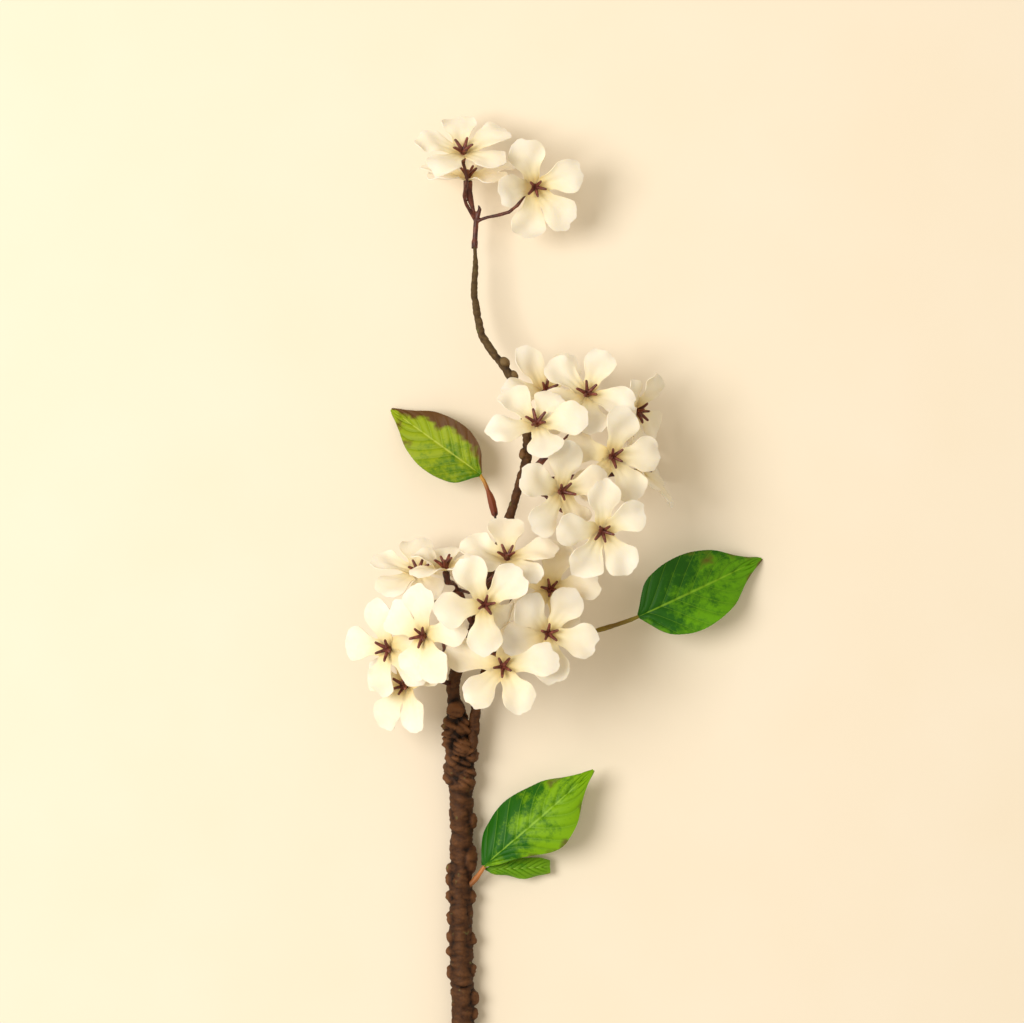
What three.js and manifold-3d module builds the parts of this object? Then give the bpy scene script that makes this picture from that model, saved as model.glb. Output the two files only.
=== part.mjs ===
// Artificial pear blossom branch, lying on a table as it was laid down.
// Millimetres. +Z is up and the table is z = 0; +Y runs along the branch, from the cut end to its top.
// A bark-covered stem over a steel wire carries moulded sprigs, and each sprig carries its blossoms:
// one five-petal fabric piece pushed on a pin, with a moulded star of stamens on top.
// Three stalks carry the leaves, and a small fourth leaf shares the lowest stalk.
import * as THREE from "three";
import Module from "manifold-3d";
import { mergeVertices } from "three/addons/utils/BufferGeometryUtils.js";

const wasm = await Module();
wasm.setup();

const CLEARANCE = 0.3; // gap kept between pieces that are pushed or glued together
const rad = THREE.MathUtils.degToRad;
const vec = (x, y, z) => new THREE.Vector3(x, y, z);

// ---------------------------------------------------------------- building blocks

function geometry(triangles) {
  const flat = triangles.flatMap((t) => t.flatMap((p) => [p.x, p.y, p.z]));
  return new THREE.BufferGeometry().setAttribute(
    "position",
    new THREE.Float32BufferAttribute(flat, 3),
  );
}

function solid(geo) {
  const plain = new THREE.BufferGeometry().setAttribute(
    "position",
    (geo.index ? geo.toNonIndexed() : geo).getAttribute("position"),
  );
  const merged = mergeVertices(plain, 1e-3);
  return new wasm.Manifold(
    new wasm.Mesh({
      numProp: 3,
      vertProperties: merged.attributes.position.array,
      triVerts: new Uint32Array(merged.index.array),
    }),
  );
}

function geometryOf(body) {
  const mesh = body.getMesh();
  const geo = new THREE.BufferGeometry();
  geo.setAttribute("position", new THREE.BufferAttribute(mesh.vertProperties, 3));
  geo.setIndex(new THREE.BufferAttribute(mesh.triVerts, 1));
  return geo;
}

// A round rod through stations [point, radius], closed at both ends, with a vertex row along its underside.
function rod(stations, sides, grow = 0) {
  const points = stations.map((s) => s[0]);
  const rings = [];
  let normal = vec(0, 0, -1);
  stations.forEach(([centre, radius], i) => {
    const before = points[Math.max(i - 1, 0)];
    const after = points[Math.min(i + 1, points.length - 1)];
    const along = after.clone().sub(before).normalize();
    normal = normal.clone().addScaledVector(along, -normal.dot(along));
    if (normal.length() < 1e-3) normal = vec(1, 0, 0).addScaledVector(along, -along.x);
    normal.normalize();
    const across = along.clone().cross(normal);
    rings.push(
      Array.from({ length: sides }, (_, k) => {
        const a = (k / sides) * 2 * Math.PI;
        return centre
          .clone()
          .addScaledVector(normal, (radius + grow) * Math.cos(a))
          .addScaledVector(across, (radius + grow) * Math.sin(a));
      }),
    );
  });
  const triangles = [];
  const last = rings.length - 1;
  for (let k = 0; k < sides; k++) {
    const n = (k + 1) % sides;
    for (let i = 0; i < last; i++)
      triangles.push(
        [rings[i][k], rings[i][n], rings[i + 1][n]],
        [rings[i][k], rings[i + 1][n], rings[i + 1][k]],
      );
    triangles.push(
      [points[0], rings[0][n], rings[0][k]],
      [points[last], rings[last][k], rings[last][n]],
    );
  }
  return solid(geometry(triangles));
}

// Stations [x, y, z, radius] smoothed into a row of [point, radius].
function smooth(stations, steps) {
  const curve = new THREE.CatmullRomCurve3(
    stations.map(([x, y, z]) => vec(x, y, z)),
    false,
    "centripetal",
  );
  const spans = stations.length - 1;
  return Array.from({ length: steps + 1 }, (_, i) => {
    const u = (i / steps) * spans;
    const k = Math.min(Math.floor(u), spans - 1);
    const radius = THREE.MathUtils.lerp(stations[k][3], stations[k + 1][3], u - k);
    return [curve.getPoint(i / steps), radius];
  });
}

// Two matching grids of points, the face and the back of a thin sheet, joined into closed triangles.
// The long edges are walled from row `from` on: petals of one blossom share the rows before it.
function sheet(face, back, from = 0) {
  const rows = face.length - 1;
  const cols = face[0].length - 1;
  const triangles = [];
  for (let i = 0; i < rows; i++)
    for (let j = 0; j < cols; j++) {
      for (const [g, turn] of [[face, false], [back, true]]) {
        const [a, b, c, d] = [g[i][j], g[i + 1][j], g[i + 1][j + 1], g[i][j + 1]];
        triangles.push(...(turn ? [[a, c, b], [a, d, c]] : [[a, b, c], [a, c, d]]));
      }
    }
  const wall = (p, q, pBack, qBack) => triangles.push([pBack, qBack, q], [pBack, q, p]);
  for (let i = from; i < rows; i++) {
    wall(face[i][0], face[i + 1][0], back[i][0], back[i + 1][0]);
    wall(face[i + 1][cols], face[i][cols], back[i + 1][cols], back[i][cols]);
  }
  for (let j = 0; j < cols; j++) {
    wall(face[rows][j], face[rows][j + 1], back[rows][j], back[rows][j + 1]);
    wall(face[0][j + 1], face[0][j], back[0][j + 1], back[0][j]);
  }
  return triangles;
}

// ---------------------------------------------------------------- blossoms

const PETALS = 5;
const FABRIC = 0.5; // thickness of the stiffened fabric
const HOLE_RADIUS = 0.9;
const CUP_RADIUS = 2.6; // the five petals are one piece out to here
const CUP_RISE = 0.9;
const PETAL_LENGTH = 18.4;
// Share of the petal's length, half width, and how far that row curls up (+) or back (-).
const PETAL_ROWS = [
  [0.28, 3.7, 0.4],
  [0.58, 7.4, 0.6],
  [0.84, 6.6, 0.1],
  [1.0, 2.4, -0.7],
];
const PETAL_HOLLOW = 1.2; // how much the petal's edges stand above its middle
const PETAL_LIFT = 12; // usual angle of a petal above the plane of its blossom

function petals({ turns = [], lifts = [], reach = [], twists = [] }) {
  const triangles = [];
  for (let k = 0; k < PETALS; k++) {
    const middle = rad(72 * k);
    const face = [];
    const back = [];
    for (const [radius, rise] of [[HOLE_RADIUS, 0], [CUP_RADIUS, CUP_RISE]]) {
      const ring = [-36, 0, 36].map((d) => {
        const a = middle + rad(d);
        return vec(radius * Math.cos(a), radius * Math.sin(a), rise);
      });
      back.push(ring);
      face.push(ring.map((p) => p.clone().add(vec(0, 0, FABRIC))));
    }
    const a = middle + rad(turns[k] ?? 0);
    const lift = rad(lifts[k] ?? PETAL_LIFT);
    const out = vec(Math.cos(a) * Math.cos(lift), Math.sin(a) * Math.cos(lift), Math.sin(lift));
    const up = vec(-Math.cos(a) * Math.sin(lift), -Math.sin(a) * Math.sin(lift), Math.cos(lift));
    const side = vec(-Math.sin(a), Math.cos(a), 0);
    const root = vec(CUP_RADIUS * Math.cos(a), CUP_RADIUS * Math.sin(a), CUP_RISE);
    for (const [share, half, curl] of PETAL_ROWS) {
      const twist = rad(twists[k] ?? 0) * Math.min(1, share / 0.58);
      const across = side.clone().applyAxisAngle(out, twist);
      const above = up.clone().applyAxisAngle(out, twist);
      const row = [-1, 0, 1].map((t) =>
        root
          .clone()
          .addScaledVector(out, share * PETAL_LENGTH * (reach[k] ?? 1))
          .addScaledVector(across, t * half)
          .addScaledVector(above, curl + PETAL_HOLLOW * t * t * share),
      );
      back.push(row);
      face.push(row.map((p) => p.clone().addScaledVector(above, FABRIC)));
    }
    triangles.push(...sheet(face, back, 1));
  }
  return geometry(triangles);
}

// The stamens are one moulding: a hub and five pointed prongs leaning out between the petals.
function starGeometry() {
  const HUB_FOOT = 0.85;
  let star = rod([[vec(0, 0, HUB_FOOT), 1.1], [vec(0, 0, HUB_FOOT + 1.8), 0.9]], 6);
  for (let k = 0; k < PETALS; k++) {
    const a = rad(36 + 72 * k);
    const splay = rad(32);
    const along = vec(
      Math.cos(a) * Math.sin(splay),
      Math.sin(a) * Math.sin(splay),
      Math.cos(splay),
    );
    const foot = vec(0, 0, HUB_FOOT + 0.5);
    star = star.add(
      rod(
        [[foot, 0.8], [foot.clone().addScaledVector(along, 6), 0.3]],
        3,
      ),
    );
  }
  return geometryOf(star);
}

// Where each blossom sits: at = the pin's foot, toward = direction it leans to (degrees from +X to +Y),
// tilt = how far its face leans from straight up, roll = direction of its first petal. Then, for each
// petal, turns, lifts and twists = its own angles (degrees), reach = its share of the usual length.
const BLOSSOMS = {
  top_1: {
    at: [-20, 147, 30], toward: 90, tilt: 48, roll: 26,
    turns: [8, 0, -6, -6, 8], reach: [1.05, 1.05, 1, 1, 1],
  },
  top_2: {
    at: [-18.3, 137.5, 17.8], toward: 90, tilt: 68, roll: 18,
    turns: [0, 0, 0, -10, 5],
  },
  top_3: {
    at: [9.2, 134.4, 24], toward: -50, tilt: 18, roll: 30,
    turns: [-8, 6, 8, 16, -4], lifts: [16, 12, 30, -6, 8],
    reach: [1, 1.05, 0.9, 1.08, 1.08],
  },
  mid_1: {
    at: [10, 34.7, 59], toward: 95, tilt: 38, roll: -8,
    turns: [12, -4, -6, -8, 6], reach: [1, 0.74, 1, 1, 1], twists: [42, 0, 0, 0, 0],
  },
  mid_2: { at: [13.3, 49, 29], toward: 50, tilt: 35, roll: 50 },
  mid_3: {
    at: [30.6, 47.4, 41], toward: 80, tilt: 30, roll: -8,
    turns: [-14, 4, 8, 0, -8], lifts: [12, 12, 18, 6, 12],
  },
  mid_4: {
    at: [40, 22.3, 50], toward: -8, tilt: 26, roll: 10,
    turns: [-6, -4, 10, 6, 4], lifts: [12, 12, -25, -18, 12],
  },
  mid_5: {
    at: [19.3, 8.2, 60], toward: -10, tilt: 25, roll: 16,
    lifts: [12, 12, 12, 12, -14],
  },
  mid_6: {
    at: [36, -7.4, 57], toward: -40, tilt: 20, roll: 24,
    turns: [6, -6, 6, 0, -8], lifts: [14, 2, 12, 12, 12], reach: [0.92, 1, 1, 1, 1],
  },
  mid_7: {
    at: [50.3, 41.5, 30.2], toward: -10, tilt: 64, roll: -22,
    turns: [-6, 14, 11, 6, 0],
    lifts: [12, 24, 4, 24, 12],
    reach: [1, 0.85, 0.67, 0.7, 0.75],
  },
  mid_8: { at: [51.8, 17, 18.8], toward: 32, tilt: 78, roll: 86 },
  low_1: {
    at: [-38.5, -26, 33], toward: 90, tilt: 57, roll: 24,
    turns: [-6, -2, -8, -14, -22],
    lifts: [-12, 12, 6, 0, -6],
    reach: [0.8, 1, 1, 1, 0.75],
  },
  low_2: {
    at: [-27, -24, 41], toward: 97, tilt: 74, roll: 25,
    turns: [0, 0, 0, 0, 0], lifts: [12, 12, 36, 12, 12],
    reach: [0.9, 0.85, 0.7, 0.9, 0.9],
  },
  low_3: {
    at: [-35, -50, 60], toward: 180, tilt: 33, roll: 14,
    turns: [-4, 4, -8, 14, -3], lifts: [-16, 12, 0, -4, 12], reach: [0.85, 1, 1, 0.9, 1],
  },
  low_4: {
    at: [-49.6, -56, 42], toward: 185, tilt: 38, roll: 24,
    turns: [0, 6, 4, 8, 10], lifts: [-20, 12, 12, -4, -18],
  },
  low_5: {
    at: [-43, -71.5, 31], toward: 182, tilt: 40, roll: 22,
    turns: [8, 2, -2, 0, -8], lifts: [0, 0, 6, 12, 12],
  },
  low_6: {
    at: [-11, -37.5, 67], toward: 60, tilt: 6, roll: 42,
    turns: [0, 0, 4, 11, 0], lifts: [12, 12, 12, 14, -50], reach: [1, 1, 1, 1, 0.75],
  },
  low_7: {
    at: [-2, -19.6, 50], toward: 88, tilt: 48, roll: 16,
    turns: [-8, 4, -8, -14, -2], lifts: [12, 14, 0, 24, 12],
  },
  low_8: {
    at: [15.4, -32.3, 40], toward: 80, tilt: 20, roll: 5,
    lifts: [12, 12, -4, -15, -15],
  },
  low_9: {
    at: [14.3, -49.5, 50.4], toward: 20, tilt: 12, roll: -14,
    turns: [0, 0, 4, -10, 0], lifts: [12, 12, 26, 13, 12],
  },
  low_10: {
    at: [-3.7, -62.5, 58.6], toward: 90, tilt: 3, roll: 10,
    turns: [0, 0, 10, 0, 0], lifts: [9, -30, 0, 14, 14], reach: [1.12, 1, 1.22, 1, 1],
  },
};

function frameOf({ at, toward, tilt, roll }) {
  return new THREE.Matrix4()
    .makeTranslation(...at)
    .multiply(new THREE.Matrix4().makeRotationZ(rad(toward)))
    .multiply(new THREE.Matrix4().makeRotationY(rad(tilt)))
    .multiply(new THREE.Matrix4().makeRotationZ(rad(roll - toward)));
}

// ---------------------------------------------------------------- sprigs

// Each sprig: a stalk from inside the bark to the fork [x, y, z, radius], then one pedicel to each blossom,
// through the points given. necks = radius just under the calyx where it is thicker than usual.
const SPRIGS = {
  top: {
    stalk: [
      [-15.5, 109.4, 14, 1.55], [-15.5, 112.2, 14, 1.55],
      [-15.4, 113.2, 14, 1.2], [-15, 120.5, 14, 1.2],
    ],
    pedicels: {
      top_1: [[-19.8, 130, 17.5], [-18.5, 137.5, 25.5]],
      top_2: [[-16.2, 126, 14.6]],
      top_3: [[-11.5, 122, 15], [0, 125, 17.5]],
    },
    necks: { top_2: 2.1 },
    bud: [
      [-15, 120.5, 14, 0.9], [-14.1, 123.6, 14.2, 1.2],
      [-13.4, 125.8, 14.4, 0.9], [-13.9, 127.4, 14.8, 0.3],
    ],
  },
  mid_a: {
    stalk: [[5.8, 14.8, 26.8, 1.0], [8, 16.5, 28, 1.3], [11, 19.5, 30, 1.6], [16, 25, 33.5, 1.5]],
    pedicels: {
      mid_1: [[15, 29, 42]],
      mid_2: [[15, 36, 30], [14, 44, 28]],
      mid_3: [[22, 30, 37], [28.5, 38, 37]],
    },
  },
  mid_b: {
    stalk: [
      [5.2, 12, 24, 1.0], [9, 12.5, 24.5, 1.1], [22, 14, 31, 1.2],
      [38, 15, 33, 1.3], [42, 15.5, 33, 1.2],
    ],
    pedicels: { mid_4: [[42.5, 18.5, 40]], mid_7: [[41, 24, 31], [41, 34, 27]], mid_8: [[47, 14, 27]] },
  },
  mid_c: {
    stalk: [[3, 10.5, 26.8, 0.9], [6, 10.5, 33, 1.1], [13, 7, 44, 1.2]],
    pedicels: { mid_5: [[16, 8, 51]], mid_6: [[22, -1, 45.5], [32, -5.5, 48.5]] },
  },
  low_a: {
    stalk: [[-16.4, -46.6, 23, 1.0], [-18, -43, 24, 1.3], [-21, -35, 24.5, 1.7], [-22.5, -32, 24.5, 1.7]],
    pedicels: {
      low_1: [[-29, -37, 31], [-36, -35, 36]],
      low_2: [[-23.5, -30, 28]],
      low_7: [[-16, -33, 33], [-7, -26, 40]],
    },
    necks: { low_2: 1.5 },
  },
  low_b: {
    stalk: [[-25.8, -71.6, 15, 1.0], [-28, -70.6, 18.5, 1.2], [-31, -69, 22, 1.3]],
    pedicels: {
      low_3: [[-28, -60, 38], [-28.5, -51.5, 50]],
      low_4: [[-31, -60, 26], [-35, -51.5, 31], [-42, -50.5, 36]],
      low_5: [],
    },
  },
  low_c: {
    stalk: [[-16.4, -52, 22, 1.0], [-15.4, -51, 30, 1.1], [-13.5, -49.5, 41, 1.2]],
    pedicels: { low_6: [[-11.5, -42, 52]], low_10: [[-8, -57, 47]] },
  },
  low_d: {
    stalk: [[2.2, -38.4, 26.4, 0.9], [6, -38.5, 28.5, 1.1], [10, -38.5, 30.5, 1.2]],
    pedicels: { low_8: [[14, -35, 32.5]], low_9: [[13.5, -46, 38]] },
  },
};

const CALYX_GAP = 0.3; // between the calyx and the back of the petals
const PIN_TOP = 0.5;

function sprigSolid({ stalk, pedicels, necks = {}, bud }, grow = 0) {
  const fork = stalk[stalk.length - 1];
  let body = rod(smooth(stalk, 8), 6, grow);
  for (const [name, via] of Object.entries(pedicels)) {
    const place = frameOf(BLOSSOMS[name]);
    const local = (h) => vec(0, 0, h).applyMatrix4(place);
    const neck = necks[name] ?? 0.8;
    const centres = [fork.slice(0, 3), ...via, local(-5).toArray()];
    const stations = centres.map((p, i) => [...p, i > via.length ? neck : 0.8]);
    const line = smooth(stations, stations.length * 2);
    line.push([local(-2.6), Math.max(neck, 1.1)], [local(-CALYX_GAP), Math.max(neck, 1.6)]);
    body = body
      .add(rod(line, 6, grow))
      .add(rod([[local(-CALYX_GAP - 0.4), 0.55], [local(PIN_TOP), 0.55]], 6, grow));
  }
  if (!bud) return body;
  return body.add(rod(bud.map(([x, y, z, r]) => [vec(x, y, z), r]), 6, grow));
}

// ---------------------------------------------------------------- leaves

// Blade from base to tip [x, y, z]; half = half width; arch lifts its middle; fold lifts (+) or drops (-) its
// edges; roll turns it about its midrib; tip = half width left at the tip.
const LEAVES = {
  leaf_left: {
    base: [-13, 15.5, 16], end: [-51, 43, 0.5], half: 12.3,
    arch: 2.5, fold: 1.5, roll: 0, tip: 0.8,
  },
  leaf_right: {
    base: [52.5, -43.5, 19], end: [105, -19.5, 0.5], half: 16,
    arch: 5, fold: 2, roll: 0, tip: 0.8,
  },
  leaf_low: {
    base: [-12, -148, 10.2], end: [34, -107.5, 13], half: 15.5,
    arch: 5, fold: -4, roll: -16, tip: 0.8,
  },
  leaf_small: {
    base: [-11.2, -149.4, 8], end: [16, -148.6, 5], half: 5.5,
    arch: 1.5, fold: -2.5, roll: 0, tip: 2.6,
  },
};
const BLADE = 0.5;
const BLADE_ROWS = 9;
const BLADE_COLUMNS = [-1, -0.5, 0, 0.5, 1];

function bladePoint({ base, end, half, arch, fold, roll, tip }, s, t) {
  const from = vec(...base);
  const along = vec(...end).sub(from);
  const side = vec(-along.y, along.x, 0).normalize().applyAxisAngle(along.clone().normalize(), rad(roll));
  const up = along.clone().normalize().cross(side);
  const ends = THREE.MathUtils.lerp(0.9, tip, s);
  const width = ends + (half - ends) * Math.sin(Math.PI * s ** 0.75) ** 0.85;
  const share = (t * width) / half;
  return from
    .addScaledVector(along, s)
    .addScaledVector(side, t * width)
    .addScaledVector(up, fold * share * share)
    .add(vec(0, 0, arch * 4 * s * (1 - s)));
}

function blade(spec) {
  const face = [];
  for (let i = 0; i < BLADE_ROWS; i++) {
    const s = Math.min(i / (BLADE_ROWS - 1), 0.999);
    face.push(BLADE_COLUMNS.map((t) => bladePoint(spec, s, t)));
  }
  const back = face.map((row) => row.map((p) => p.clone().add(vec(0, 0, -BLADE))));
  return geometry(sheet(face, back));
}

// Each stalk: from inside the bark to the blade's base [x, y, z, radius]; it runs on under the midrib.
const STALKS = {
  leaf_stalk_left: {
    leaf: "leaf_left",
    line: [
      [-5.4, -9.4, 24.2, 0.6], [-6.4, -5, 22, 0.6], [-7, -2, 19.5, 0.6], [-7.2, -1, 19, 1.6],
      [-8.2, 3.5, 16.8, 1.9], [-9.2, 6.8, 15.8, 1.6], [-10, 8.8, 15.4, 1.0], [-11.8, 13, 15, 0.9],
    ],
  },
  leaf_stalk_right: {
    leaf: "leaf_right",
    line: [
      [-6.4, -58.6, 21, 0.6], [0, -58.5, 20.5, 0.6], [8, -55, 20, 0.6],
      [30, -50.5, 19, 0.8], [38, -48.5, 18.5, 1.2], [49, -45, 17.8, 1.0],
    ],
  },
  leaf_stalk_low: {
    leaf: "leaf_low",
    line: [[-18, -156.4, 7, 1.1], [-15.4, -153.6, 7.6, 1.4], [-13.6, -151.2, 8.4, 1.1]],
  },
};

function stalkSolid({ leaf, line }, grow = 0) {
  const under = [0.04, 0.16, 0.3, 0.45].map((s, i) => {
    const radius = 0.75 - 0.12 * i;
    return [...bladePoint(LEAVES[leaf], s, 0).add(vec(0, 0, -BLADE - CLEARANCE - radius)), radius];
  });
  const stations = [...line, ...under];
  return rod(smooth(stations, stations.length * 2 - 2), 6, grow);
}

// ---------------------------------------------------------------- bark and wire

const MAIN = [
  [-20.5, -275, 5.5, 5.5], [-20.5, -214, 5.5, 5.5], [-21.5, -162.5, 5.5, 5.5],
  [-21, -133, 5.5, 5.5], [-21.5, -108, 6.2, 6],
  [-22, -93.5, 8.4, 5.6], [-23, -86, 9.8, 3.8], [-24, -78.5, 11.5, 3.2],
  [-25, -71.5, 13.5, 3], [-21, -61, 17, 3],
  [-15.5, -48, 21, 3], [-9.5, -31.5, 24, 2.9], [-5, -15, 25, 2.8],
  [-1.3, -3.5, 25, 2.5], [1.7, 6.4, 25, 2.3],
  [3.7, 13, 25, 2.4], [6, 21.2, 25.5, 2.7], [6.3, 28, 26, 2.5], [6, 36, 26, 2.3], [3.5, 47, 25, 2.1],
  [-1.5, 57.5, 23, 2], [-8.5, 66.5, 20, 1.8], [-13, 73.5, 18, 2],
  [-14.5, 83, 17, 1.8], [-16, 92, 16, 1.7],
  [-15, 101, 15, 1.4], [-15.5, 109, 14.2, 0.9], [-15.5, 111.4, 14, 0.8],
];
const SIDE = [
  [-17, -104, 11, 2.2], [-15.8, -91, 12, 2.8], [-14.8, -79.5, 14, 2.6], [-11, -68, 17.5, 2.6],
  [-6.2, -53, 22, 2.5], [-1.6, -42, 24, 2.3], [2.8, -34.5, 25.6, 2],
];
const WIRE_RADIUS = 1.25;
const WIRE_SPANS = 15; // the wire runs inside the stem up to the middle blossoms

const mainLine = smooth(MAIN, 54);
const wireLine = smooth(MAIN.slice(0, WIRE_SPANS + 1), 30);
const thin = (line, radius) => line.map(([p]) => [p, radius]);
const nudge = (line, length) => {
  const [first, second] = [line[0][0], line[1][0]];
  const start = first.clone().addScaledVector(first.clone().sub(second).normalize(), length);
  return [[start, line[0][1]], ...line.slice(1)];
};

const sprigs = Object.fromEntries(
  Object.entries(SPRIGS).map(([name, spec]) => [name, sprigSolid(spec)]),
);
const stalks = Object.fromEntries(
  Object.entries(STALKS).map(([name, spec]) => [name, stalkSolid(spec)]),
);
// The bark is cut back around everything set into it, so each root sits in its own socket.
const sockets = [
  ...Object.entries(SPRIGS)
    .filter(([name]) => name !== "top")
    .map(([, spec]) => sprigSolid(spec, CLEARANCE)),
  ...Object.values(STALKS).map((spec) => stalkSolid(spec, CLEARANCE)),
];
const sideLine = smooth(SIDE, 16);
let sideTwig = rod(sideLine, 8);
let mainStem = rod(mainLine, 10)
  .subtract(rod(nudge(thin(wireLine, WIRE_RADIUS), 1), 8, CLEARANCE))
  .subtract(rod(nudge(sideLine, CLEARANCE), 8, CLEARANCE));
for (const socket of sockets) {
  mainStem = mainStem.subtract(socket);
  sideTwig = sideTwig.subtract(socket);
}
// The top sprig is the other way round: it is a sleeve pushed over the thin end of the stem.
sprigs.top = sprigs.top.subtract(rod(mainLine.slice(-6), 8, CLEARANCE));

// ---------------------------------------------------------------- the branch

const group = new THREE.Group();
group.name = "pear_blossom_branch";

function addMesh(name, geo, color, matrix) {
  const mesh = new THREE.Mesh(geo, new THREE.MeshStandardMaterial({ color }));
  mesh.name = name;
  if (matrix) {
    mesh.matrixAutoUpdate = false;
    mesh.matrix.copy(matrix);
  }
  group.add(mesh);
}

const COLOURS = {
  bark: "#5a3d29",
  wire: "#8a8a8c",
  sprig: "#5c2b22",
  petal: "#f6ead0",
  leaf: "#5f8f1c",
  stalk: "#8c5a1f",
};
addMesh("main_stem", geometryOf(mainStem), COLOURS.bark);
addMesh("side_twig", geometryOf(sideTwig), COLOURS.bark);
addMesh("stem_wire", geometryOf(rod(thin(wireLine, WIRE_RADIUS), 8)), COLOURS.wire);
for (const [name, body] of Object.entries(sprigs)) {
  addMesh(`sprig_${name}`, geometryOf(body), COLOURS.sprig);
}
const star = starGeometry();
for (const [name, spec] of Object.entries(BLOSSOMS)) {
  const place = frameOf(spec);
  addMesh(`petals_${name}`, petals(spec), COLOURS.petal, place);
  addMesh(`star_${name}`, star, COLOURS.sprig, place);
}
for (const [name, spec] of Object.entries(LEAVES)) {
  addMesh(name, blade(spec), COLOURS.leaf);
}
for (const [name, body] of Object.entries(stalks)) {
  addMesh(name, geometryOf(body), COLOURS.stalk);
}

// The origin is the middle of the bounding box, at the table.
group.updateMatrixWorld(true);
const bounds = new THREE.Box3().setFromObject(group, true);
group.position.set(
  -(bounds.min.x + bounds.max.x) / 2,
  -(bounds.min.y + bounds.max.y) / 2,
  -bounds.min.z,
);
group.updateMatrixWorld(true);

export default group;
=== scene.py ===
"""Artificial pear blossom branch lying on a table. Each section makes the looks of one kind of piece."""
import math

import bmesh
import bpy
import numpy as np
from mathutils import Matrix, Vector, noise


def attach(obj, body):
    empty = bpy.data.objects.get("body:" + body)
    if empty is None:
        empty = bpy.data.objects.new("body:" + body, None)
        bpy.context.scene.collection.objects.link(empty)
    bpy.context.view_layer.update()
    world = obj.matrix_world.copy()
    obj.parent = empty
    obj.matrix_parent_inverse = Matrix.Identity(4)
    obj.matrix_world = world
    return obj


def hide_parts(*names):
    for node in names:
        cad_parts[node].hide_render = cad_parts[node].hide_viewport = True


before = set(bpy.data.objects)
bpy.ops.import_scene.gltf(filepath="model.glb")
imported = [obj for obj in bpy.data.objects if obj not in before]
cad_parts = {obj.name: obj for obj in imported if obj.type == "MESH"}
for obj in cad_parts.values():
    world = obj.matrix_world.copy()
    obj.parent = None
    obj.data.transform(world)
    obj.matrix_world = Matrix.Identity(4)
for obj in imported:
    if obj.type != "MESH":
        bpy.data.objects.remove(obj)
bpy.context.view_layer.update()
MM = 0.001
scene = bpy.context.scene

# ---------------------------------------------------------------- the view
# Straight down on the branch as it lies on the table. The end of the bare stem is outside the view.
CAMERA_HEIGHT = 1500
VIEW_WIDTH = 430
VIEW_MIDDLE = (-18.0, 54.7)

camera = bpy.data.objects.new("camera", bpy.data.cameras.new("camera"))
scene.collection.objects.link(camera)
camera.location = (VIEW_MIDDLE[0] * MM, VIEW_MIDDLE[1] * MM, CAMERA_HEIGHT * MM)
camera.data.lens = camera.data.sensor_width * CAMERA_HEIGHT / VIEW_WIDTH
scene.camera = camera

# ---------------------------------------------------------------- petals
# Each blossom is one piece of stiffened polyester cloth, die-cut into five petals and heat-pressed
# so that every petal is hollow and its rim waves. It is pushed on the sprig's pin by its middle.
CLOTH = 0.32
TABLE_GAP = 0.1  # a petal that reaches the table stays this far above it
HOLE_RADIUS = 0.9
CUP_RADIUS = 2.6
CUP_RISE = 1.15
STAR_TIP_HEIGHT = 6.44  # from the blossom's foot to the plane of its stamens' tips
PETAL_ROWS = 34
PETAL_COLUMNS = 25
WIDEST = 0.64  # share of the petal's length where its side ends and its round tip starts
HOLE_SHARE = -0.09  # the hole's edge, on the scale that is 0 at the cup's edge and 1 at the tip
ROW_SHARES = [HOLE_SHARE, 0, 0.28, 0.58, 0.84, 1]  # the rows that petal_lines gives, on that scale
CLAW_HALF_WIDTHS = (1.1, 2.6)  # half the petal's width at the hole and at the cup's edge
VEINS_ACROSS = 22
BLOSSOMS = (
    [f"top_{k}" for k in range(1, 4)]
    + [f"mid_{k}" for k in range(1, 9)]
    + [f"low_{k}" for k in range(1, 11)]
)


def linear(code):
    """An sRGB hex colour as linear RGBA."""
    channels = [int(code[i : i + 2], 16) / 255 for i in (1, 3, 5)]
    return tuple(c / 12.92 if c <= 0.04045 else ((c + 0.055) / 1.055) ** 2.4 for c in channels) + (1,)


def add(tree, kind, inputs=None, stops=None, **settings):
    """Adds a node. inputs = {socket: a value, or the output that feeds it}; stops = a ramp's colours."""
    made = tree.nodes.new(kind)
    for key, value in settings.items():
        setattr(made, key, value)
    for key, value in (inputs or {}).items():
        if isinstance(value, bpy.types.NodeSocket):
            tree.links.new(value, made.inputs[key])
        else:
            made.inputs[key].default_value = value
    for i, (place, colour) in enumerate(stops or []):
        stop = made.color_ramp.elements[i] if i < 2 else made.color_ramp.elements.new(place)
        stop.position = place
        stop.color = linear(colour)
    return made


def material(name):
    """A new material with an empty node tree."""
    made = bpy.data.materials.new(name)
    made.use_nodes = True
    made.node_tree.nodes.clear()
    return made


def welded(name):
    """A CAD node's corner points in millimetres, and its edges, with the doubles merged."""
    bm = bmesh.new()
    bm.from_mesh(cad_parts[name].data)
    bmesh.ops.remove_doubles(bm, verts=bm.verts, dist=0.005 * MM)
    bm.verts.index_update()
    points = np.array([v.co for v in bm.verts]) / MM
    edges = [[v.index for v in e.verts] for e in bm.edges]
    bm.free()
    return points, edges


def steps_from(start, edges, count, allowed=None):
    """How many edges each point is away from the start points; -1 where none leads there."""
    near = [[] for _ in range(count)]
    for a, b in edges:
        if allowed is None or (allowed[a] and allowed[b]):
            near[a].append(b)
            near[b].append(a)
    steps = np.full(count, -1)
    steps[start] = 0
    queue = list(start)
    for a in queue:
        for b in near[a]:
            if steps[b] < 0:
                steps[b] = steps[a] + 1
                queue.append(b)
    return steps


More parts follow.
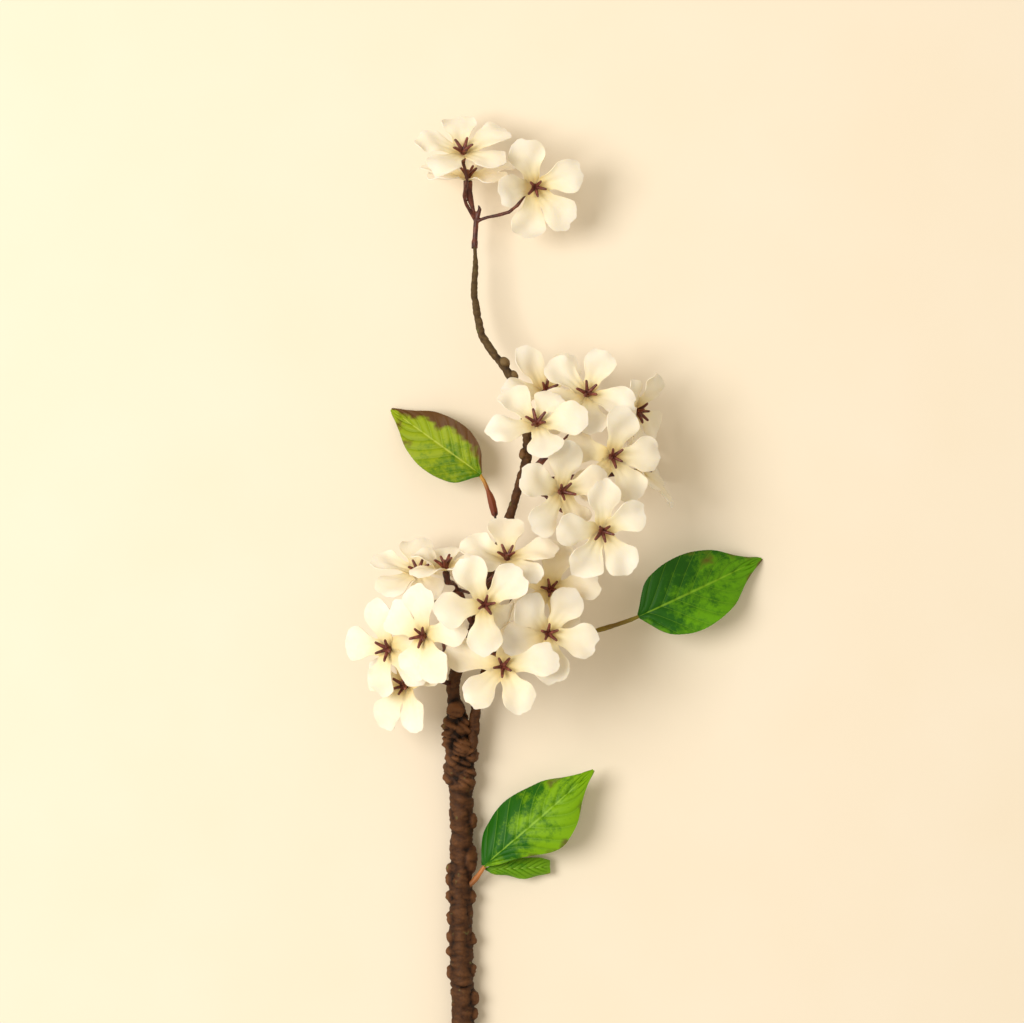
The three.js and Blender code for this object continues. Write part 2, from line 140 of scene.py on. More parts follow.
def spline(knots, values, at):
    """A smooth curve through the values at the knots, read at the places in at."""
    knots, values = np.asarray(knots, float), np.asarray(values, float)
    slopes = np.gradient(values, knots, axis=0)
    k = np.clip(np.searchsorted(knots, at) - 1, 0, len(knots) - 2)
    span = knots[k + 1] - knots[k]
    t = (at - knots[k]) / span
    if values.ndim > 1:
        t, span = t[..., None], span[..., None]
    t2, t3 = t * t, t * t * t
    return (
        (2 * t3 - 3 * t2 + 1) * values[k]
        + (t3 - 2 * t2 + t) * span * slopes[k]
        + (3 * t2 - 2 * t3) * values[k + 1]
        + (t3 - t2) * span * slopes[k + 1]
    )


def unit(vectors):
    return vectors / np.linalg.norm(vectors, axis=-1, keepdims=True)


def smooth_step(low, high, value):
    t = np.clip((value - low) / (high - low), 0, 1)
    return t * t * (3 - 2 * t)


def blossom_place(name):
    """The blossom's foot, and its own X, Y and Z as columns, read from its stamen star."""
    points, _ = welded(f"star_{name}")
    middle = points.mean(0)
    distance = np.linalg.norm(points - middle, axis=1)
    tips = points[distance > 0.8 * distance.max()]
    centre = tips.mean(0)
    axes = np.linalg.svd(tips - centre)[2]
    z = axes[2] * np.sign(axes[2] @ (centre - middle))
    x = unit(np.cross((0, 1, 0), z))
    y = np.cross(z, x)
    angles = np.arctan2((tips - centre) @ y, (tips - centre) @ x)
    first = np.angle(np.exp(5j * angles).sum()) / 5 + math.pi / 5
    x = math.cos(first) * x + math.sin(first) * y
    return centre - STAR_TIP_HEIGHT * z, np.stack([x, np.cross(z, x), z], 1)


def petal_lines(name, foot, turn):
    """For each petal: its middle line, half width vectors and upward vectors, from the hole to the tip."""
    points, edges = welded(f"petals_{name}")
    local = (points - foot) @ turn
    hole = np.flatnonzero(np.hypot(local[:, 0], local[:, 1]) < 1.5)
    row = steps_from(hole, edges, len(points))
    left = set(np.flatnonzero(row == 5))
    petals = []
    while left:
        own = steps_from([next(iter(left))], edges, len(points), row >= 2) >= 0
        left -= set(np.flatnonzero(own))
        middles, halves, ups = [], [], []
        for r in (2, 3, 4, 5):
            six = local[own & (row == r)]
            across = np.linalg.svd(six - six.mean(0))[2][0]
            pairs = six[np.argsort(six @ across)].reshape(3, 2, 3)
            thick = pairs[1, 1] - pairs[1, 0]
            middles.append(pairs[1].mean(0))
            halves.append((pairs[2] - pairs[0]).mean(0) / 2)
            ups.append(thick * np.sign(thick[2]))
        a = math.atan2(middles[0][1], middles[0][0])
        out = np.array([math.cos(a), math.sin(a), 0])
        side = np.array([-out[1], out[0], 0])
        halves = [h * np.sign(h @ side) for h in halves]
        starts = [out * HOLE_RADIUS + [0, 0, 0.3], out * CUP_RADIUS + [0, 0, CUP_RISE]]
        up = np.array([0, 0, 1])
        petals.append(
            (
                a,
                np.array(starts + middles),
                np.array([side * half for half in CLAW_HALF_WIDTHS] + halves),
                unit(np.array([up, up] + ups)),
            )
        )
    return [p[1:] for p in sorted(petals, key=lambda p: p[0])]


def petal_surface(middles, halves, ups, rng):
    """The fine middle surface of one petal, rows from the hole to the rim by columns across it."""
    u = np.sin(np.linspace(-1, 1, PETAL_COLUMNS) * math.pi / 2)[None, :]
    v = np.linspace(0, 1, PETAL_ROWS)[:, None]
    tip = WIDEST + (1 - WIDEST) * np.sqrt(1 - u * u * 0.999)
    dent = rng.uniform(0, 0.045)
    dent_at = rng.uniform(-0.5, 0.5)
    tip = tip - dent * np.exp(-(((u - dent_at) / 0.25) ** 2)) + 0.025 * np.sin(3.4 * u + rng.uniform(0, 6))
    tip = tip + 0.014 * np.sin(8 * u + rng.uniform(0, 6)) + 0.007 * np.sin(19 * u + rng.uniform(0, 6))
    share = HOLE_SHARE + v * (tip - HOLE_SHARE)
    wide = np.linalg.norm(halves[3])
    claw = np.linalg.norm(halves[2]) * 1.12
    widths = np.array([*CLAW_HALF_WIDTHS, claw, wide, wide * 1.05, wide * 1.03])
    widths[2:] *= rng.uniform(0.87, 1.0)
    half = spline([HOLE_SHARE, 0, 0.28, 0.58, 0.7, 1], widths, share)
    phase = rng.uniform(0, 2 * math.pi, 8)
    rim = np.abs(u) ** 3 * smooth_step(0.1, 0.6, share)
    half = half * (1 + 0.045 * np.sin(7 * share + np.where(u < 0, phase[0], phase[1])))
    half = half * (1 + 0.02 * np.sin(21 * share + np.where(u < 0, phase[1], phase[7])))
    waves = np.where(
        u < 0,
        np.sin(rng.uniform(7, 13) * share + phase[2]) * rng.uniform(0.2, 0.9),
        np.sin(rng.uniform(7, 13) * share + phase[3]) * rng.uniform(0.2, 0.9),
    )
    height = (
        0.7 * u * u * np.clip(share, 0, 1)
        + rng.uniform(-0.7, 1.3) * u * u * np.sin(math.pi * np.clip(share, 0, 1))
        + rim * waves
        + 0.45 * smooth_step(0.7, 1, share) * np.sin(rng.uniform(2.5, 5) * u + phase[4])
        + rng.uniform(-1.7, 0.7) * smooth_step(0.62, 1.05, share) ** 1.5
        - 0.2 * np.exp(-((u / 0.2) ** 2)) * smooth_step(0, 0.2, share) * (1 - smooth_step(0.4, 0.9, share))
        + 0.07 * np.sin(9 * u + phase[5]) * (1 - smooth_step(0.2, 0.9, share))
        + 0.4 * np.sin(rng.uniform(5, 8) * share + 4 * u + phase[6]) * smooth_step(0.2, 0.7, share)
    )
    centre = spline(ROW_SHARES, middles, share)
    across = unit(spline(ROW_SHARES, unit(halves), share))
    up = unit(spline(ROW_SHARES, ups, share))
    return centre + across * (u * half)[..., None] + up * height[..., None], u, share


def sheet(surface, thickness, base):
    """Points and outward faces of a thin closed sheet around a surface grid; base = first point's number."""
    along = np.gradient(surface, axis=0)
    across = np.gradient(surface, axis=1)
    normal = unit(np.cross(along, across)) * thickness / 2
    rows, columns = surface.shape[:2]
    face = np.arange(rows * columns).reshape(rows, columns) + base
    back = face + rows * columns

    def quads(a, b, c, d):
        return np.stack([a.ravel(), b.ravel(), c.ravel(), d.ravel()], 1)

    faces = np.concatenate(
        [
            quads(face[:-1, :-1], face[1:, :-1], face[1:, 1:], face[:-1, 1:]),
            quads(back[:-1, :-1], back[:-1, 1:], back[1:, 1:], back[1:, :-1]),
            quads(face[:-1, 0], back[:-1, 0], back[1:, 0], face[1:, 0]),
            quads(face[1:, -1], back[1:, -1], back[:-1, -1], face[:-1, -1]),
            quads(face[-1, :-1], back[-1, :-1], back[-1, 1:], face[-1, 1:]),
            quads(face[0, 1:], back[0, 1:], back[0, :-1], face[0, :-1]),
        ]
    )
    points = np.concatenate([(surface + normal).reshape(-1, 3), (surface - normal).reshape(-1, 3)])
    return points, faces


def piece(name, points, faces, uvs, finish, slot, *nodes, sharp=55):
    """A finished mesh object from points in millimetres. It rides with the branch, in place of its nodes."""
    mesh = bpy.data.meshes.new(name)
    mesh.from_pydata((np.asarray(points) * MM).tolist(), [], [list(map(int, f)) for f in faces])
    if uvs is not None:
        layer = mesh.uv_layers.new(name="shape")
        loops = np.zeros(len(mesh.loops), np.int32)
        mesh.loops.foreach_get("vertex_index", loops)
        layer.data.foreach_set("uv", np.asarray(uvs, np.float32)[loops].ravel())
    mesh.materials.append(finish)
    mesh.shade_smooth()
    mesh.set_sharp_from_angle(angle=math.radians(sharp))
    mesh.update()
    made = bpy.data.objects.new(name, mesh)
    scene.collection.objects.link(made)
    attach(made, "root")
    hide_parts(*nodes)
    return made


# Polyester petal cloth, dyed cream and stiffened with starch: matt, a little light comes through it.
# Each petal is darker and yellower towards its foot: partly the cloth's own tint, partly painted shade in the
# blossom's cupped middle.
petal_cloth = material("starched_polyester_petal_cloth")
tree = petal_cloth.node_tree
uv = add(tree, "ShaderNodeUVMap", uv_map="shape").outputs[0]
parts = add(tree, "ShaderNodeSeparateXYZ", {0: uv})
where = add(tree, "ShaderNodeTexCoord").outputs["Object"]
# Partly the cloth's own yellow tint, partly painted shade: darker and yellower at each petal's foot, in the
# cupped middle of the blossom.
foot_tint_and_painted_shade = add(
    tree,
    "ShaderNodeValToRGB",
    {0: parts.outputs[1]},
    [(0.04, "#E9D296"), (0.2, "#F4E6C0"), (0.45, "#F7EDD8"), (0.9, "#F8F1E4")],
)
clouds = add(tree, "ShaderNodeTexNoise", {"Vector": where, "Scale": 1 / (14 * MM), "Detail": 3.0})
cloudy = add(
    tree,
    "ShaderNodeValToRGB",
    {0: clouds.outputs[0]},
    [(0.35, "#F3E6C8"), (0.65, "#FFFFFF")],
)
coloured = add(
    tree,
    "ShaderNodeMix",
    {"Factor": 0.3, 6: foot_tint_and_painted_shade.outputs[0], 7: cloudy.outputs[0]},
    data_type="RGBA",
    blend_type="MULTIPLY",
)
# Pressed veins, drawn together at the petal's narrow foot, over the weave of the cloth.
wander = add(tree, "ShaderNodeTexNoise", {"Vector": uv, "Scale": 5.0, "Detail": 2.0})
bent = add(
    tree,
    "ShaderNodeMath",
    {0: wander.outputs[0], 1: 0.12, 2: parts.outputs[0]},
    operation="MULTIPLY_ADD",
)
stripes = add(
    tree,
    "ShaderNodeMath",
    {0: bent.outputs[0], 1: 2 * math.pi * VEINS_ACROSS},
    operation="MULTIPLY",
)
vein = add(tree, "ShaderNodeMath", {0: stripes.outputs[0]}, operation="SINE")
weave = add(tree, "ShaderNodeTexNoise", {"Vector": where, "Scale": 1 / (0.35 * MM), "Detail": 1.0})
relief = add(
    tree,
    "ShaderNodeMath",
    {0: vein.outputs[0], 1: 0.35, 2: weave.outputs[0]},
    operation="MULTIPLY_ADD",
)
bump = add(tree, "ShaderNodeBump", {"Height": relief.outputs[0], "Strength": 0.3, "Distance": 0.05 * MM})
cloth = add(
    tree,
    "ShaderNodeBsdfPrincipled",
    {
        "Base Color": coloured.outputs[2],
        "Roughness": 0.72,
        "Specular IOR Level": 0.25,
        "Subsurface Weight": 0.25,
        "Subsurface Radius": (1.0, 0.8, 0.45),
        "Subsurface Scale": 1.2 * MM,
        "Sheen Weight": 0.12,
        "Normal": bump.outputs[0],
    },
)
add(tree, "ShaderNodeOutputMaterial", {0: cloth.outputs[0]})

places = {}
for number, name in enumerate(BLOSSOMS):
    foot, turn = blossom_place(name)
    places[name] = (foot, turn)
    points, faces, uvs = [], [], []
    count = 0
    for k, (middles, halves, ups) in enumerate(petal_lines(name, foot, turn)):
        surface, u, share = petal_surface(middles, halves, ups, np.random.default_rng(100 * number + k))
        own, quads = sheet(surface, CLOTH, count)
        own = own @ turn.T + foot
        both_sides = own.reshape(2, -1, 3)
        both_sides[..., 2] += np.maximum(0, TABLE_GAP - both_sides[..., 2].min(0))
        points.append(both_sides.reshape(-1, 3))
        faces.append(quads)
        flat = np.stack(np.broadcast_arrays(0.5 + 0.5 * u, np.clip(share, 0, 1)), -1).reshape(-1, 2)
        uvs += [flat, flat]
        count += len(own)
    piece(
        f"blossom_{name}",
        np.concatenate(points),
        np.concatenate(faces),
        np.concatenate(uvs),
        petal_cloth,
        "petal",
        f"petals_{name}",
    )

# ---------------------------------------------------------------- stamens
# One moulded polyethylene star in each blossom: a low hub pushed over the pin, and five blunt prongs
# that lean out over the petals. A node tree makes it, and its prongs lean a little differently each time.
STAR_INPUTS = {
    "Prongs": ("NodeSocketInt", 5),
    "Length": ("NodeSocketFloat", 6.4 * MM),
    "Root radius": ("NodeSocketFloat", 1.15 * MM),
    "Tip radius": ("NodeSocketFloat", 0.62 * MM),
    "Splay": ("NodeSocketFloat", math.radians(32)),
    "Hub radius": ("NodeSocketFloat", 1.35 * MM),
    "Foot": ("NodeSocketFloat", 1.0 * MM),
    "Seed": ("NodeSocketInt", 0),
    "Finish": ("NodeSocketMaterial", None),
}

# Polyethylene, moulded in dark red-brown: a soft gloss, mottled with a lighter and redder tone.
stamen_plastic = material("moulded_polyethylene_stamen")
tree = stamen_plastic.node_tree
where = add(tree, "ShaderNodeTexCoord").outputs["Object"]
mottle = add(tree, "ShaderNodeTexNoise", {"Vector": where, "Scale": 1 / (1.6 * MM), "Detail": 3.0})
brown = add(
    tree,
    "ShaderNodeValToRGB",
    {0: mottle.outputs[0]},
    [(0.3, "#4A211A"), (0.55, "#753B2E"), (0.75, "#96574A")],
)
grain = add(tree, "ShaderNodeTexNoise", {"Vector": where, "Scale": 1 / (0.3 * MM), "Detail": 2.0})
bump = add(tree, "ShaderNodeBump", {"Height": grain.outputs[0], "Strength": 0.3, "Distance": 0.06 * MM})
plastic = add(
    tree,
    "ShaderNodeBsdfPrincipled",
    {
        "Base Color": brown.outputs[0],
        "Roughness": 0.42,
        "Specular IOR Level": 0.45,
        "Subsurface Weight": 0.05,
        "Subsurface Scale": 0.4 * MM,
        "Normal": bump.outputs[0],
    },
)
add(tree, "ShaderNodeOutputMaterial", {0: plastic.outputs[0]})

star_tree = bpy.data.node_groups.new("stamen_star", "GeometryNodeTree")
star_sockets = {}
for label, (kind, value) in STAR_INPUTS.items():
    star_sockets[label] = star_tree.interface.new_socket(label, in_out="INPUT", socket_type=kind)
    if value is not None:
        star_sockets[label].default_value = value
star_tree.interface.new_socket("Geometry", in_out="OUTPUT", socket_type="NodeSocketGeometry")
given = add(star_tree, "NodeGroupInput").outputs
prong = add(
    star_tree,
    "GeometryNodeMeshCone",
    {
        "Vertices": 6,
        "Side Segments": 6,
        "Radius Top": given["Tip radius"],
        "Radius Bottom": given["Root radius"],
        "Depth": given["Length"],
    },
)
place = add(star_tree, "GeometryNodeInputPosition").outputs[0]
apart = add(star_tree, "ShaderNodeSeparateXYZ", {0: place})
up = add(star_tree, "ShaderNodeMath", {0: apart.outputs[2], 1: given["Length"]}, operation="DIVIDE")
bow = add(star_tree, "ShaderNodeMath", {0: up.outputs[0], 1: 2.0}, operation="POWER")
bow_size = add(star_tree, "ShaderNodeMath", {0: bow.outputs[0], 1: 0.9 * MM}, operation="MULTIPLY")
bowed = add(star_tree, "ShaderNodeCombineXYZ", {"X": bow_size.outputs[0]})
bent_prong = add(
    star_tree,
    "GeometryNodeSetPosition",
    {"Geometry": prong.outputs["Mesh"], "Offset": bowed.outputs[0]},
)
round_prong = add(
    star_tree,
    "GeometryNodeSubdivisionSurface",
    {"Mesh": bent_prong.outputs[0], "Level": 1},
)
ring = add(star_tree, "GeometryNodeMeshLine", {"Count": given["Prongs"], "Offset": (0.0, 0.0, 0.0)})
number = add(star_tree, "GeometryNodeInputIndex").outputs[0]
step = add(star_tree, "ShaderNodeMath", {0: 2 * math.pi, 1: given["Prongs"]}, operation="DIVIDE")
turned = add(
    star_tree,
    "ShaderNodeMath",
    {0: number, 1: step.outputs[0], 2: math.radians(36)},
    operation="MULTIPLY_ADD",
)
lean = add(
    star_tree,
    "FunctionNodeRandomValue",
    {2: math.radians(-7), 3: math.radians(7), "Seed": given["Seed"]},
)
drift = add(
    star_tree,
    "FunctionNodeRandomValue",
    {2: math.radians(-9), 3: math.radians(9), "ID": number, "Seed": given["Seed"]},
)
splay = add(star_tree, "ShaderNodeMath", {0: given["Splay"], 1: lean.outputs[1]}, operation="ADD")
heading = add(star_tree, "ShaderNodeMath", {0: turned.outputs[0], 1: drift.outputs[1]}, operation="ADD")
facing = add(star_tree, "ShaderNodeCombineXYZ", {"Y": splay.outputs[0], "Z": heading.outputs[0]})
size = add(star_tree, "FunctionNodeRandomValue", {2: 0.88, 3: 1.06, "ID": number, "Seed": given["Seed"]})
prongs = add(
    star_tree,
    "GeometryNodeInstanceOnPoints",
    {
        "Points": ring.outputs[0],
        "Instance": round_prong.outputs[0],
        "Rotation": facing.outputs[0],
        "Scale": size.outputs[1],
    },
)
lifted = add(star_tree, "ShaderNodeCombineXYZ", {"Z": given["Foot"]})
prongs_up = add(
    star_tree,
    "GeometryNodeTransform",
    {"Geometry": prongs.outputs[0], "Translation": lifted.outputs[0]},
)
hub = add(
    star_tree,
    "GeometryNodeMeshUVSphere",
    {"Segments": 16, "Rings": 9, "Radius": given["Hub radius"]},
)
hub_up = add(
    star_tree,
    "GeometryNodeTransform",
    {"Geometry": hub.outputs[0], "Translation": lifted.outputs[0], "Scale": (1.0, 1.0, 0.85)},
)
star = add(star_tree, "GeometryNodeJoinGeometry")
star_tree.links.new(prongs_up.outputs[0], star.inputs[0])
star_tree.links.new(hub_up.outputs[0], star.inputs[0])
real = add(star_tree, "GeometryNodeRealizeInstances", {0: star.outputs[0]})
finished = add(
    star_tree,
    "GeometryNodeSetMaterial",
    {"Geometry": real.outputs[0], "Material": given["Finish"]},
)
add(star_tree, "NodeGroupOutput", {0: finished.outputs[0]})


def grown(tree, values):
    """The plain mesh that a node tree makes with these inputs."""
    holder = bpy.data.objects.new("holder", bpy.data.meshes.new("holder"))
    scene.collection.objects.link(holder)
    modifier = holder.modifiers.new("nodes", "NODES")
    modifier.node_group = tree
    for socket, value in values.items():
        modifier[socket.identifier] = value
    evaluated = holder.evaluated_get(bpy.context.evaluated_depsgraph_get())
    mesh = bpy.data.meshes.new_from_object(evaluated)
    bpy.data.objects.remove(holder)
    return mesh


for number, name in enumerate(BLOSSOMS):
    foot, turn = places[name]
    values = {star_sockets["Seed"]: number, star_sockets["Finish"]: stamen_plastic}
    for label, (kind, value) in STAR_INPUTS.items():
        if label not in ("Seed", "Finish"):
            values[star_sockets[label]] = value
    mesh = grown(star_tree, values)
    mesh.name = f"stamens_{name}"
    mesh.transform(Matrix.Translation(Vector(foot * MM)) @ Matrix(turn.tolist()).to_4x4())
    mesh.shade_smooth()
    mesh.set_sharp_from_angle(angle=math.radians(60))
    stamens = bpy.data.objects.new(f"stamens_{name}", mesh)
    scene.collection.objects.link(stamens)
    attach(stamens, "root")
    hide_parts(f"star_{name}")

# ---------------------------------------------------------------- sprigs
# Eight mouldings carry the blossoms: a stalk rooted in the bark, its pedicels, and under each blossom
# a small calyx with the pin. They are soft polyethylene, a little lumpy where the mould was parted.
SPRIGS = ["top", "mid_a", "mid_b", "mid_c", "low_a", "low_b", "low_c", "low_d"]
SPRIG_VOXEL = 0.3
ROUNDING_STEPS = 3

# Moulded polyethylene in dark red-brown, slightly mottled, with a soft gloss.
sprig_plastic = material("moulded_polyethylene_sprig")
tree = sprig_plastic.node_tree
where = add(tree, "ShaderNodeTexCoord").outputs["Object"]
mottle = add(tree, "ShaderNodeTexNoise", {"Vector": where, "Scale": 1 / (3 * MM), "Detail": 4.0})
brown = add(
    tree,
    "ShaderNodeValToRGB",
    {0: mottle.outputs[0]},
    [(0.3, "#35150F"), (0.5, "#54261B"), (0.7, "#7A4231")],
)
grain = add(tree, "ShaderNodeTexNoise", {"Vector": where, "Scale": 1 / (0.5 * MM), "Detail": 3.0})
bump = add(tree, "ShaderNodeBump", {"Height": grain.outputs[0], "Strength": 0.4, "Distance": 0.12 * MM})
plastic = add(
    tree,
    "ShaderNodeBsdfPrincipled",
    {
        "Base Color": brown.outputs[0],
        "Roughness": 0.46,
        "Specular IOR Level": 0.45,
        "Normal": bump.outputs[0],
    },
)
add(tree, "ShaderNodeOutputMaterial", {0: plastic.outputs[0]})


def remoulded(node, voxel, lumps, lump_size):
    """A CAD node's shape as a fine rounded skin with soft lumps: its points in millimetres, and faces."""
    bm = bmesh.new()
    bm.from_mesh(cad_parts[node].data)
    bmesh.ops.remove_doubles(bm, verts=bm.verts, dist=0.005 * MM)
    mesh = bpy.data.meshes.new("skin")
    bm.to_mesh(mesh)
    bm.free()
    holder = bpy.data.objects.new("holder", mesh)
    scene.collection.objects.link(holder)
    skin = holder.modifiers.new("skin", "REMESH")
    skin.mode = "VOXEL"
    skin.voxel_size = voxel * MM
    rounding = holder.modifiers.new("rounding", "SMOOTH")
    rounding.factor = 0.5
    rounding.iterations = ROUNDING_STEPS
    evaluated = holder.evaluated_get(bpy.context.evaluated_depsgraph_get())
    fine = bpy.data.meshes.new_from_object(evaluated)
    bpy.data.objects.remove(holder)
    points = np.array([v.co for v in fine.vertices]) / MM
    normals = np.array([v.normal for v in fine.vertices])
    push = np.array([noise.noise(Vector(p / lump_size)) for p in points]) * lumps
    faces = [tuple(p.vertices) for p in fine.polygons]
    return points + normals * push[:, None], faces


for name in SPRIGS:
    points, faces = remoulded(f"sprig_{name}", SPRIG_VOXEL, 0.14, 2.2)
    piece(f"moulded_sprig_{name}", points, faces, None, sprig_plastic, "sprig", f"sprig_{name}", sharp=70)

# ---------------------------------------------------------------- bark
# Stem and side twig are wound with brown crepe paper over foam, glued and pressed to look like bark:
# wrinkles and the strip's edge run round them, and lumps of paper stand up along both sides.
RING_STEP = 0.5
AROUND = 72
WIRE_HOLE = 1.55
SKIN_DEPTH = 1.5  # how far inside the modelled stem the deepest creases lie
STRIP_PITCH = 9.0  # the paper strip goes once round in this length, and its edge leaves a groove
GROOVE = 0.25
# Lumps on the main stem: distance from the cut end, angle from its top to the right, radius, height.
LUMPS = [
    (194.0, 0, 3.2, 3.0),
    (187.0, -60, 3.6, 2.4),
    (185.5, 30, 3.4, 2.0),
    (180.5, -70, 3.4, 2.2),
    (178.0, 10, 3.6, 2.6),
    (173.5, -40, 3.6, 2.0),
    (174.0, 60, 3.4, 2.0),
    (166.0, -75, 4.2, 1.6),
    (163.0, 35, 4.4, 1.8),
    (145.6, 85, 3.0, 2.0),
    (129.8, 80, 5.0, 2.4),
    (125.6, -85, 2.2, 1.6),
    (121.1, -85, 2.2, 1.7),
    (114.0, -85, 2.2, 1.6),
    (114.0, 85, 2.6, 1.5),
    (105.2, -80, 2.4, 1.5),
    (97.3, -70, 2.2, 1.3),
    (96.5, 85, 2.4, 1.5),
    (91.1, -85, 2.2, 1.5),
    (83.2, 85, 2.4, 1.5),
    (82.7, -88, 2.4, 1.6),
    (71.9, 85, 3.0, 2.2),
    (64.8, 85, 2.4, 1.6),
    (52.0, -60, 2.6, 1.6),
    (40.0, 70, 2.8, 1.7),
    (24.0, -80, 2.6, 1.7),
    (12.0, 30, 2.8, 1.4),
    (345.8, 60, 2.2, 1.8),
    (339.2, 80, 1.8, 1.5),
    (296.7, 70, 2.4, 1.8),
    (306.0, -70, 2.2, 1.2),
    (318.0, 75, 1.8, 1.2),
]
FOLDS = (160.0, 194.0, 1.5)  # where heaped folds start and end on the main stem, and their height


def middle_line(node, step):
    """Middle points and radii of a rod that runs along Y, measured on cuts through it."""
    points, edges = welded(node)
    a, b = points[np.array(edges)[:, 0]], points[np.array(edges)[:, 1]]
    low, high = points[:, 1].min(), points[:, 1].max()
    middles, radii = [], []
    for y in np.arange(low + 0.2, high, step):
        cut = (a[:, 1] - y) * (b[:, 1] - y) < 0
        t = ((y - a[cut, 1]) / (b[cut, 1] - a[cut, 1]))[:, None]
        ring = a[cut] + t * (b[cut] - a[cut])
        lowest, highest = ring.min(0), ring.max(0)
        middles.append((lowest + highest) / 2)
        radii.append((highest[2] - lowest[2]) / 2)
    middles, radii = np.array(middles), np.array(radii)
    for _ in range(2):
        middles[1:-1] = (middles[:-2] + 2 * middles[1:-1] + middles[2:]) / 4
        radii[1:-1] = (radii[:-2] + 2 * radii[1:-1] + radii[2:]) / 4
    middles[0][1], middles[-1][1] = low, high
    return middles, radii


def bark_skin(node, seed, lumps, folds, hole):
    """The wrinkled paper skin of a rod: points, faces, and as UV how far each stands above its neighbours."""
    middles, radii = middle_line(node, 3.0)
    travelled = np.concatenate([[0], np.cumsum(np.linalg.norm(np.diff(middles, axis=0), axis=1))])
    along = np.linspace(0, travelled[-1], int(travelled[-1] / RING_STEP))
    centre = spline(travelled, middles, along)
    radius = np.interp(along, travelled, radii)
    tangent = unit(np.gradient(centre, axis=0))
    right = unit(np.cross(tangent, (0, 0, 1)))
    top = np.cross(right, tangent)
    turn = np.linspace(0, 2 * math.pi, AROUND, endpoint=False)
    outward = (
        np.cos(turn)[None, :, None] * top[:, None, :] + np.sin(turn)[None, :, None] * right[:, None, :]
    )
    skin = centre[:, None, :] + radius[:, None, None] * outward
    rise = np.zeros(skin.shape[:2])
    for i in range(len(along)):
        thick = min(1, radius[i] / 4)
        for j in range(AROUND):
            p = Vector(skin[i, j])
            crepe = noise.noise(Vector((p.x * 0.3, p.y * 1.0, p.z * 0.3 + seed)))
            puff = abs(noise.noise(Vector((p.x * 0.11, p.y * 0.14, p.z * 0.11 + seed + 9))))
            puff = min(1, 2.6 * puff) ** 0.7
            fold = abs(noise.noise(Vector((p.x * 0.12, p.y * 0.42, p.z * 0.12 + seed + 5))))
            fold = min(1, 2.6 * fold) ** 0.7
            rise[i, j] = thick * (0.2 * crepe + 0.75 * puff + 0.5 * fold - SKIN_DEPTH)
            if folds:
                heap = smooth_step(folds[0] - 4, folds[0] + 4, along[i])
                heap *= 1 - smooth_step(folds[1] - 3, folds[1] + 5, along[i])
                ridge = abs(noise.noise(Vector((p.x * 0.13 + 3, p.y * 0.33 + 0.16 * p.x, p.z * 0.16 + seed))))
                rise[i, j] += heap * folds[2] * (min(1, 2.8 * ridge) ** 0.7 - 0.2)
    wind = ((along[:, None] + STRIP_PITCH * turn[None, :] / (2 * math.pi)) / STRIP_PITCH) % 1
    rise -= GROOVE * np.minimum(1, radius / 5)[:, None] * np.exp(-(((wind - 0.5) / 0.06) ** 2))
    for from_end, angle, wide, high in lumps:
        round_it = (turn[None, :] - math.radians(angle) + math.pi) % (2 * math.pi) - math.pi
        away = np.hypot(along[:, None] - from_end, round_it * radius[:, None]) / (1.15 * wide)
        rise += high * np.sqrt(np.clip(1 - away**2, 0, 1))
    blurred = sum(np.roll(rise, step, 0) for step in range(-6, 7)) / 13
    blurred = sum(np.roll(blurred, step, 1) for step in range(-7, 8)) / 15
    relief = rise - blurred
    skin = skin + rise[..., None] * outward
    ends = [(centre[0], hole, skin[0]), (centre[-1], 0.05, skin[-1])]
    points = [skin.reshape(-1, 3)]
    grid = np.arange(skin.shape[0] * AROUND).reshape(-1, AROUND)
    stand = [relief.ravel()]
    faces = []

    def strip(first, second):
        for j in range(AROUND):
            k = (j + 1) % AROUND
            faces.append((first[j], first[k], second[k], second[j]))

    for i in range(len(grid) - 1):
        strip(grid[i], grid[i + 1])
    count = grid.size
    for which, (middle, inner, rim) in enumerate(ends):
        spokes = unit(outward[0 if which == 0 else -1])
        inside = middle + spokes * inner
        bottom = inside + (tangent[0] * 6 if which == 0 else -tangent[-1] * 0.02)
        rings = [count + np.arange(AROUND), count + AROUND + np.arange(AROUND)]
        points += [inside, bottom]
        # The ends' inner rings get a low value, so the bark finish paints the end faces darker towards their
        # middle and the wire hole dark inside: painted shade.
        stand += [np.full(AROUND, -0.6), np.full(AROUND, -0.6)]
        count += 2 * AROUND
        edge = grid[0] if which == 0 else grid[-1]
        if which == 0:
            strip(rings[0], edge)
            strip(rings[1], rings[0])
            faces.append(tuple(rings[1][::-1]))
        else:
            strip(edge, rings[0])
            strip(rings[0], rings[1])
            faces.append(tuple(rings[1]))
    points = np.concatenate(points)
    points[:, 2] = np.maximum(points[:, 2], 0.05)
    stand = np.concatenate(stand)
    return points, faces, np.stack([np.clip(0.5 + stand * 0.3, 0, 1), np.zeros(len(stand))], 1)


# Crepe paper dyed brown and varnished in patches, and olive on the thin upper stem. Painted shade darkens its
# folds and a
# painted highlight lightens its ridges: how far each point stands above the skin round it drives both.
bark_paper = material("wound_crepe_paper_bark")
tree = bark_paper.node_tree
uv = add(tree, "ShaderNodeUVMap", uv_map="shape").outputs[0]
where = add(tree, "ShaderNodeTexCoord").outputs["Object"]
height = add(tree, "ShaderNodeSeparateXYZ", {0: uv}).outputs[0]
speckle = add(tree, "ShaderNodeTexNoise", {"Vector": where, "Scale": 1 / (1.1 * MM), "Detail": 5.0})
